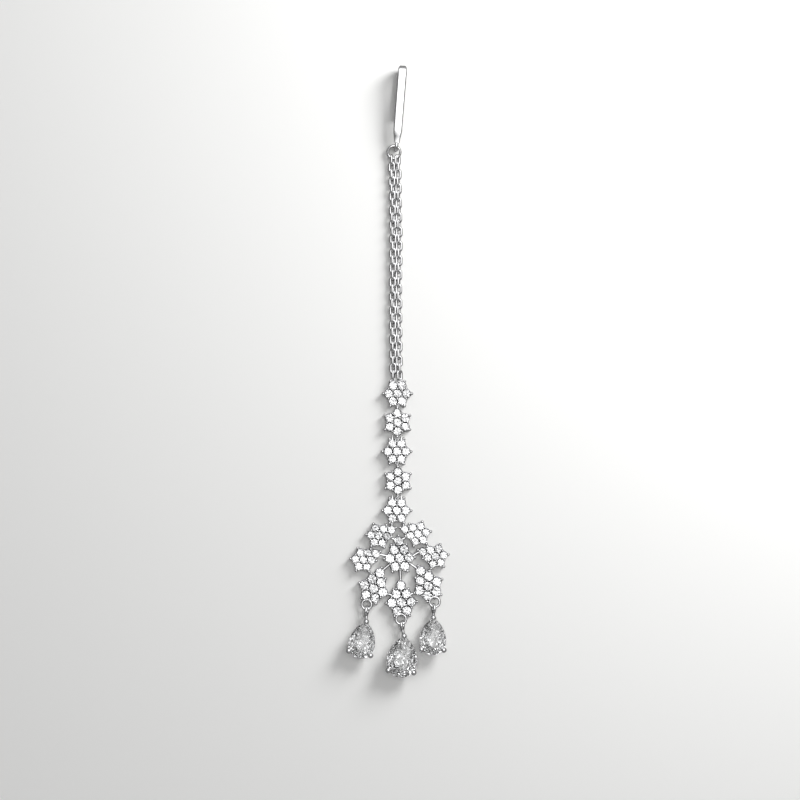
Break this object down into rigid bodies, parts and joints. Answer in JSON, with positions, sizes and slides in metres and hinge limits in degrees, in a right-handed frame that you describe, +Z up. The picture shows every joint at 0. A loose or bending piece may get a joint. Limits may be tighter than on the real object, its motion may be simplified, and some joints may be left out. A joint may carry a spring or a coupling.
{
  "type": "maang tikka",
  "caption": "Hair-parting jewel lying flat: slim bent hook, paired fine chains, a string of stone-set flowers, an openwork fan and claw-set pear drops.",
  "frame": {"origin": "on the surface it lies on, under the middle of its bounding box", "axes": "+Y along the piece towards the hook, +Z up out of the stones' tables, +X to the right as seen from above"},
  "size_m": [0.0234, 0.1399, 0.0043],
  "materials": {
    "polished_silver": "polished",
    "clear_stone": "cut and polished"
  },
  "bodies": {
    "root": {"hook": "polished_silver", "hook_ring": "polished_silver", "chain_left": "polished_silver", "chain_right": "polished_silver", "flower_1": "polished_silver", "flower_2": "polished_silver", "flower_3": "polished_silver", "flower_4": "polished_silver", "fan": "polished_silver", "drop_ring_left": "polished_silver", "drop_setting_left": "polished_silver", "pear_left": "clear_stone", "drop_ring_centre": "polished_silver", "drop_setting_centre": "polished_silver", "pear_centre": "clear_stone", "drop_ring_right": "polished_silver", "drop_setting_right": "polished_silver", "pear_right": "clear_stone"}
  },
  "joints": []
}
